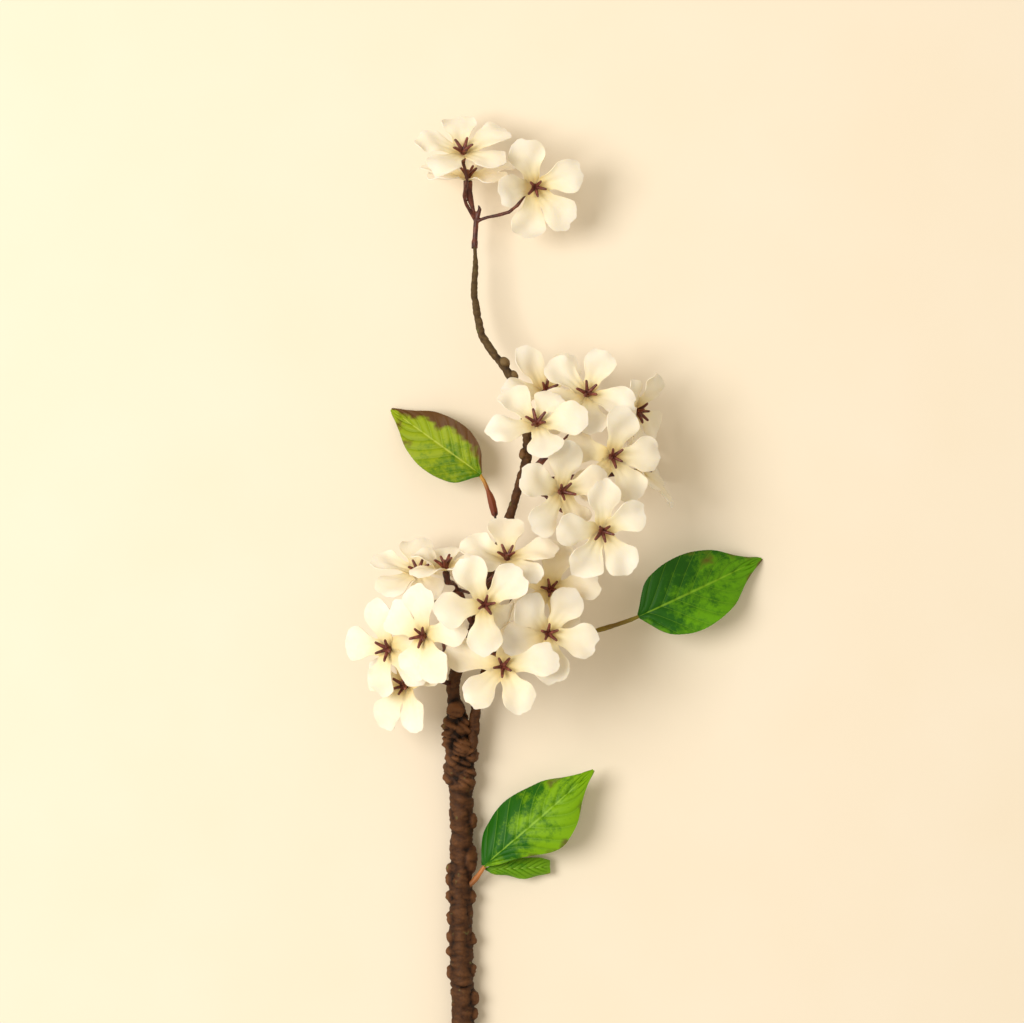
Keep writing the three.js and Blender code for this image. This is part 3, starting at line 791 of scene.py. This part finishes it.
# Painted shade and painted highlight: a point that lies below the skin round it is coloured darker, and one
# that stands above it lighter.
uneven = add(
    tree,
    "ShaderNodeMath",
    {0: speckle.outputs[0], 1: 0.35, 2: height},
    operation="MULTIPLY_ADD",
)
brown_painted_shade_and_highlight = add(
    tree,
    "ShaderNodeValToRGB",
    {0: uneven.outputs[0]},
    [(0.44, "#1E1007"), (0.58, "#3E2310"), (0.7, "#4E2F17"), (0.88, "#684225")],
)
olive_painted_shade_and_highlight = add(
    tree,
    "ShaderNodeValToRGB",
    {0: uneven.outputs[0]},
    [(0.44, "#241A0E"), (0.58, "#44311B"), (0.7, "#564226"), (0.88, "#766040")],
)
split = add(tree, "ShaderNodeSeparateXYZ", {0: where})
upper = add(
    tree,
    "ShaderNodeMapRange",
    {"Value": split.outputs[1], "From Min": 60 * MM, "From Max": 110 * MM},
)
both = add(
    tree,
    "ShaderNodeMix",
    {"Factor": upper.outputs[0], 6: brown_painted_shade_and_highlight.outputs[0], 7: olive_painted_shade_and_highlight.outputs[0]},
    data_type="RGBA",
)
moss = add(tree, "ShaderNodeTexNoise", {"Vector": where, "Scale": 1 / (4 * MM), "Detail": 6.0})
mossy = add(tree, "ShaderNodeMapRange", {"Value": moss.outputs[0], "From Min": 0.66, "From Max": 0.76})
green = add(
    tree,
    "ShaderNodeMix",
    {"Factor": mossy.outputs[0], 6: both.outputs[2], 7: linear("#6B6A3C")},
    data_type="RGBA",
)
fibre = add(tree, "ShaderNodeTexNoise", {"Vector": where, "Scale": 1 / (0.5 * MM), "Detail": 4.0})
bump = add(tree, "ShaderNodeBump", {"Height": fibre.outputs[0], "Strength": 0.7, "Distance": 0.25 * MM})
gloss = add(
    tree,
    "ShaderNodeMapRange",
    {"Value": speckle.outputs[0], "To Min": 0.45, "To Max": 0.85},
)
paper = add(
    tree,
    "ShaderNodeBsdfPrincipled",
    {
        "Base Color": green.outputs[2],
        "Roughness": gloss.outputs[0],
        "Specular IOR Level": 0.22,
        "Normal": bump.outputs[0],
    },
)
add(tree, "ShaderNodeOutputMaterial", {0: paper.outputs[0]})

points, faces, uvs = bark_skin("main_stem", 1.0, LUMPS, FOLDS, WIRE_HOLE)
piece("bark_main_stem", points, faces, uvs, bark_paper, "bark", "main_stem", sharp=80)
TWIG_LUMPS = [(30, 40, 2.6, 1.2), (52, -50, 2.4, 1.2)]
points, faces, uvs = bark_skin("side_twig", 40.0, TWIG_LUMPS, None, 0.05)
piece("bark_side_twig", points, faces, uvs, bark_paper, "bark", "side_twig", sharp=80)

# ---------------------------------------------------------------- wire
# The wire that stiffens the stem shows only as a bright spot in the cut end of the bark.
# Galvanised steel: grey, dull, with darker zinc spangle.
galvanised = material("galvanised_steel_wire")
tree = galvanised.node_tree
where = add(tree, "ShaderNodeTexCoord").outputs["Object"]
spangle = add(tree, "ShaderNodeTexVoronoi", {"Vector": where, "Scale": 1 / (0.6 * MM)})
grey = add(tree, "ShaderNodeValToRGB", {0: spangle.outputs[0]}, [(0.0, "#9DA0A2"), (1.0, "#6E7173")])
dull = add(tree, "ShaderNodeMapRange", {"Value": spangle.outputs[0], "To Min": 0.35, "To Max": 0.55})
steel = add(
    tree,
    "ShaderNodeBsdfPrincipled",
    {"Base Color": grey.outputs[0], "Roughness": dull.outputs[0], "Metallic": 1.0},
)
add(tree, "ShaderNodeOutputMaterial", {0: steel.outputs[0]})
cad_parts["stem_wire"].material_slots[0].material = galvanised

# ---------------------------------------------------------------- leaves
# Four leaves, each cut from printed polyester cloth and hot-pressed between dies that give it its
# midrib, its side veins and the puffed cloth between them. Three are glued on a stalk at the foot, and
# the small one sits beside the low leaf's foot.
LEAF_ROWS = 130
LEAF_COLUMNS = 61
LEAF_CLOTH = 0.4
SIDE_VEINS = 8.5  # on each side, along the whole blade
VEIN_SLANT = 0.27  # how far a vein runs towards the tip on its way to the margin, in blade lengths
# How much narrower each leaf is cut: at its tip, on its right side near the foot, and at its foot.
CUTS = {
    "leaf_left": (0.3, 0.0, 0.0),
    "leaf_right": (0.42, 0.0, 0.0),
    "leaf_low": (0.42, 0.6, 0.0),
    "leaf_small": (0.0, 0.0, 0.6),
}
# Each print: dark ground, bright ground, veins, brown scorch, how much is bright, how much darker the
# left side is than the right, how much is scorched, and which side more (-1 right, 0 neither).
PRINTS = {
    "leaf_left": ("#3F6E08", "#8CA00E", "#B4C04A", "#5C3C18", 0.62, 0.06, 0.46, -1),
    "leaf_right": ("#1F5A04", "#5E9A04", "#86B428", "#5A4A1A", 0.5, 0.1, 0.1, 0),
    "leaf_low": ("#1E5E05", "#78A804", "#90BC38", "#5A5A1C", 0.52, 0.12, 0.02, 0),
    "leaf_small": ("#3A7A08", "#6C9C14", "#94B848", "#7A7030", 0.6, 0.0, 0.08, 0),
}


def printed_cloth(leaf, dark, bright, light, scorch, share, darker, burn, burnt_side):
    """Polyester cloth printed with leaf greens: faint satin gloss, patchy, lighter along its veins, with
    painted shade in the grooves beside them.
    """
    made = material(f"printed_polyester_cloth_{leaf}")
    tree = made.node_tree
    uv = add(tree, "ShaderNodeUVMap", uv_map="shape").outputs[0]
    place = add(tree, "ShaderNodeSeparateXYZ", {0: uv})
    where = add(tree, "ShaderNodeTexCoord").outputs["Object"]
    side = add(tree, "ShaderNodeMath", {0: place.outputs[0], 1: 2.0, 2: -1.0}, operation="MULTIPLY_ADD")
    away = add(tree, "ShaderNodeMath", {0: side.outputs[0]}, operation="ABSOLUTE")
    blotch = add(
        tree,
        "ShaderNodeTexNoise",
        {"Vector": where, "Scale": 1 / (9 * MM), "Detail": 8.0, "Roughness": 0.78},
    )
    slope = add(
        tree,
        "ShaderNodeMath",
        {0: side.outputs[0], 1: -darker, 2: blotch.outputs[0]},
        operation="MULTIPLY_ADD",
    )
    rising = add(
        tree,
        "ShaderNodeMath",
        {0: place.outputs[1], 1: 0.34, 2: slope.outputs[0]},
        operation="MULTIPLY_ADD",
    )
    patchy = add(
        tree,
        "ShaderNodeMapRange",
        {"Value": rising.outputs[0], "From Min": 1.08 - share, "From Max": 1.26 - share},
    )
    ground = add(
        tree,
        "ShaderNodeMix",
        {"Factor": patchy.outputs[0], 6: linear(dark), 7: linear(bright)},
        data_type="RGBA",
    )
    slanted = add(
        tree,
        "ShaderNodeMath",
        {0: away.outputs[0], 1: -VEIN_SLANT, 2: place.outputs[1]},
        operation="MULTIPLY_ADD",
    )
    counted = add(tree, "ShaderNodeMath", {0: slanted.outputs[0], 1: SIDE_VEINS}, operation="MULTIPLY")
    part = add(tree, "ShaderNodeMath", {0: counted.outputs[0]}, operation="FRACT")
    off = add(tree, "ShaderNodeMath", {0: part.outputs[0], 1: 0.5}, operation="SUBTRACT")
    gap = add(tree, "ShaderNodeMath", {0: off.outputs[0]}, operation="ABSOLUTE")
    # Painted shade: darker bands beside each side vein, where the cloth is pressed down into grooves.
    shade = add(
        tree,
        "ShaderNodeMapRange",
        {"Value": gap.outputs[0], "From Min": 0.04, "From Max": 0.3, "To Min": 0.22, "To Max": 0.0},
    )
    shaded = add(
        tree,
        "ShaderNodeMix",
        {"Factor": shade.outputs[0], 6: ground.outputs[2], 7: linear(dark)},
        data_type="RGBA",
    )
    thin = add(
        tree,
        "ShaderNodeMapRange",
        {"Value": gap.outputs[0], "From Min": 0.006, "From Max": 0.026, "To Min": 0.5, "To Max": 0.0},
    )
    middle = add(
        tree,
        "ShaderNodeMapRange",
        {"Value": away.outputs[0], "From Min": 0.012, "From Max": 0.045, "To Min": 0.7, "To Max": 0.0},
    )
    lines = add(tree, "ShaderNodeMath", {0: thin.outputs[0], 1: middle.outputs[0]}, operation="MAXIMUM")
    veined = add(
        tree,
        "ShaderNodeMix",
        {"Factor": lines.outputs[0], 6: shaded.outputs[2], 7: linear(light)},
        data_type="RGBA",
    )
    patch = add(tree, "ShaderNodeTexNoise", {"Vector": where, "Scale": 1 / (9 * MM), "Detail": 5.0})
    rim = add(
        tree,
        "ShaderNodeMath",
        {0: away.outputs[0], 1: 0.3, 2: patch.outputs[0]},
        operation="MULTIPLY_ADD",
    )
    leaning = add(
        tree,
        "ShaderNodeMath",
        {0: side.outputs[0], 1: 0.16 * burnt_side, 2: rim.outputs[0]},
        operation="MULTIPLY_ADD",
    )
    tip = add(
        tree,
        "ShaderNodeMath",
        {0: place.outputs[1], 1: 0.14, 2: leaning.outputs[0]},
        operation="MULTIPLY_ADD",
    )
    burnt = add(
        tree,
        "ShaderNodeMapRange",
        {"Value": tip.outputs[0], "From Min": 0.94 - 0.36 * burn, "From Max": 1.08 - 0.36 * burn},
    )
    printed = add(
        tree,
        "ShaderNodeMix",
        {"Factor": burnt.outputs[0], 6: veined.outputs[2], 7: linear(scorch)},
        data_type="RGBA",
    )
    weave = add(tree, "ShaderNodeTexNoise", {"Vector": where, "Scale": 1 / (0.4 * MM), "Detail": 2.0})
    bump = add(
        tree,
        "ShaderNodeBump",
        {"Height": weave.outputs[0], "Strength": 0.3, "Distance": 0.1 * MM},
    )
    cloth = add(
        tree,
        "ShaderNodeBsdfPrincipled",
        {
            "Base Color": printed.outputs[2],
            "Roughness": 0.5,
            "Specular IOR Level": 0.2,
            "Normal": bump.outputs[0],
        },
    )
    add(tree, "ShaderNodeOutputMaterial", {0: cloth.outputs[0]})
    return made


def blade_grid(leaf):
    """The blade's nine rows of five points, from its foot to its tip, halfway between its two faces."""
    points, edges = welded(leaf)
    centre = points.mean(0)
    direction = np.linalg.svd(points - centre)[2][0]
    stem, _ = welded("main_stem")
    ends = [points[np.argmin(points @ direction)], points[np.argmax(points @ direction)]]
    gaps = [np.linalg.norm(stem - end, axis=1).min() for end in ends]
    if gaps[1] < gaps[0]:
        direction = -direction
    foot = np.argsort(points @ direction)[:10]
    row = steps_from(foot, edges, len(points))
    side = unit(np.cross((0, 0, 1), direction))
    grid = []
    for r in range(row.max() + 1):
        ten = points[row == r]
        grid.append(ten[np.argsort(ten @ side)].reshape(5, 2, 3).mean(1))
    return np.array(grid)


def blade_surface(leaf, seed, taper, lower, foot):
    """The pressed leaf's fine middle surface, and its places across and along.

    taper, lower and foot = how much narrower it is cut at its tip, on its right side and at its foot.
    """
    grid = blade_grid(leaf)
    rng = np.random.default_rng(seed)
    s = np.linspace(0, 1, LEAF_ROWS)
    t = np.sin(np.linspace(-1, 1, LEAF_COLUMNS) * math.pi / 2)
    rows = spline(np.linspace(0, 1, len(grid)), grid.reshape(len(grid), -1), s)
    rows = rows.reshape(LEAF_ROWS, 5, 3).transpose(1, 0, 2).reshape(5, -1)
    surface = spline(np.linspace(-1, 1, 5), rows, t).reshape(LEAF_COLUMNS, LEAF_ROWS, 3).transpose(1, 0, 2)
    middle = surface[:, LEAF_COLUMNS // 2]
    s, t = s[:, None], t[None, :]
    teeth = 1 + 0.012 * np.abs(((s * 34) % 1) - 0.5) * np.abs(t)
    teeth = teeth * (1 - taper * smooth_step(0.66, 0.93, s))
    teeth = teeth * np.where(t < 0, 1 - lower * (1 - smooth_step(0.12, 0.55, s)), 1)
    teeth = teeth * (1 - foot * (1 - smooth_step(0.0, 0.9, s)))
    surface = middle[:, None] + (surface - middle[:, None]) * teeth[..., None]
    width = np.linalg.norm(surface[:, -1] - surface[:, 0], axis=1)[:, None] / 2
    gap = np.abs(((SIDE_VEINS * (s - VEIN_SLANT * np.abs(t))) % 1) - 0.5) * 2
    open_cloth = (1 - np.abs(t) ** 4) * smooth_step(0, 0.1, s) * (1 - smooth_step(0.88, 1, s))
    height = (
        0.5 * smooth_step(0, 0.55, gap) * open_cloth
        - 0.55 * np.exp(-((t * width / 0.9) ** 2))
        + 0.7 * np.abs(t) ** 3 * np.sin(rng.uniform(13, 17) * s + np.where(t < 0, 0, 2.4))
    )
    normal = unit(np.cross(np.gradient(surface, axis=0), np.gradient(surface, axis=1)))
    surface = surface + normal * height[..., None]
    surface[..., 2] = np.maximum(surface[..., 2], 0.35)
    return surface, np.stack(np.broadcast_arrays(0.5 + 0.5 * t, s), -1).reshape(-1, 2)


for number, (leaf, print_colours) in enumerate(PRINTS.items()):
    surface, uv = blade_surface(leaf, number, *CUTS[leaf])
    points, faces = sheet(surface, LEAF_CLOTH, 0)
    finish = printed_cloth(leaf, *print_colours)
    piece(f"pressed_{leaf}", points, faces, np.concatenate([uv, uv]), finish, "leaf", leaf)

# ---------------------------------------------------------------- leaf stalks
# Each stalk is a moulded polyethylene sleeve on a thin dark wire that goes into the bark; the sleeve
# swells where it starts, and its dye runs from brown to yellow or olive towards the leaf.
STALK_VOXEL = 0.25
STALKS = {
    "leaf_stalk_left": [(0.2, "#17100B"), (0.25, "#6A2C17"), (0.46, "#83421E"), (0.6, "#C0922E")],
    "leaf_stalk_right": [
        (0.1, "#2A1A10"),
        (0.3, "#6E5A1A"),
        (0.5, "#8C7713"),
        (0.62, "#6F5516"),
        (0.85, "#8F8A2A"),
    ],
    "leaf_stalk_low": [(0.05, "#7B4A22"), (0.25, "#B9743A"), (0.7, "#A8803C")],
}


def stalk_finish(stalk, dye):
    """Moulded polyethylene, dyed along its length, with a soft gloss."""
    made = material(f"dyed_polyethylene_{stalk}")
    tree = made.node_tree
    uv = add(tree, "ShaderNodeUVMap", uv_map="shape").outputs[0]
    where = add(tree, "ShaderNodeTexCoord").outputs["Object"]
    along = add(tree, "ShaderNodeSeparateXYZ", {0: uv}).outputs[0]
    blotch = add(tree, "ShaderNodeTexNoise", {"Vector": where, "Scale": 1 / (2 * MM), "Detail": 3.0})
    uneven = add(
        tree,
        "ShaderNodeMath",
        {0: blotch.outputs[0], 1: 0.08, 2: along},
        operation="MULTIPLY_ADD",
    )
    dyed = add(tree, "ShaderNodeValToRGB", {0: uneven.outputs[0]}, dye)
    grain = add(tree, "ShaderNodeTexNoise", {"Vector": where, "Scale": 1 / (0.5 * MM), "Detail": 2.0})
    bump = add(tree, "ShaderNodeBump", {"Height": grain.outputs[0], "Strength": 0.3, "Distance": 0.1 * MM})
    plastic = add(
        tree,
        "ShaderNodeBsdfPrincipled",
        {
            "Base Color": dyed.outputs[0],
            "Roughness": 0.45,
            "Specular IOR Level": 0.4,
            "Normal": bump.outputs[0],
        },
    )
    add(tree, "ShaderNodeOutputMaterial", {0: plastic.outputs[0]})
    return made


for stalk, dye in STALKS.items():
    points, faces = remoulded(stalk, STALK_VOXEL, 0.15, 2.5)
    corners, _ = welded(stalk)
    direction = np.linalg.svd(corners - corners.mean(0))[2][0]
    stem, _ = welded("main_stem")
    ends = [corners[np.argmin(corners @ direction)], corners[np.argmax(corners @ direction)]]
    if np.linalg.norm(stem - ends[1], axis=1).min() < np.linalg.norm(stem - ends[0], axis=1).min():
        direction = -direction
    reach = points @ direction
    along = (reach - reach.min()) / (reach.max() - reach.min())
    uvs = np.stack([along, np.zeros(len(along))], 1)
    piece(f"moulded_{stalk}", points, faces, uvs, stalk_finish(stalk, dye), "leaf_stalk", stalk, sharp=70)

# ---------------------------------------------------------------- table and light
# A plain cream table top, one large soft light high on the left, and pale light from all round.
FLOOR_SIZE = 4.0
table_card = material("cream_card")
tree = table_card.node_tree
where = add(tree, "ShaderNodeTexCoord").outputs["Object"]
fibre = add(tree, "ShaderNodeTexNoise", {"Vector": where, "Scale": 1 / (60 * MM), "Detail": 2.0})
cream = add(tree, "ShaderNodeValToRGB", {0: fibre.outputs[0]}, [(0.3, "#F3E7D3"), (0.7, "#F4E9D7")])
card = add(tree, "ShaderNodeBsdfPrincipled", {"Base Color": cream.outputs[0], "Roughness": 0.9})
card.inputs["Specular IOR Level"].default_value = 0.1
add(tree, "ShaderNodeOutputMaterial", {0: card.outputs[0]})
corner = FLOOR_SIZE / 2
mesh = bpy.data.meshes.new("table_top")
mesh.from_pydata(
    [(-corner, -corner, 0), (corner, -corner, 0), (corner, corner, 0), (-corner, corner, 0)],
    [],
    [(0, 1, 2, 3)],
)
mesh.materials.append(table_card)
table_top = bpy.data.objects.new("table_top", mesh)
scene.collection.objects.link(table_top)

LIGHT_PLACE = Vector((-1.1, 0.24, 1.6))
window = bpy.data.lights.new("window", "AREA")
window.shape = "DISK"
window.size = 1.1
window.energy = 28.5
window.color = linear("#FFFBF4")[:3]
window_light = bpy.data.objects.new("window", window)
scene.collection.objects.link(window_light)
window_light.location = LIGHT_PLACE
aim = Vector((0, 0.02, 0)) - LIGHT_PLACE
window_light.rotation_euler = aim.to_track_quat("-Z", "Y").to_euler()

world = bpy.data.worlds.new("room")
world.use_nodes = True
world.node_tree.nodes["Background"].inputs[0].default_value = linear("#FFF3DC")
world.node_tree.nodes["Background"].inputs[1].default_value = 0.6
scene.world = world
scene.view_settings.view_transform = "Standard"
scene.view_settings.look = "None"
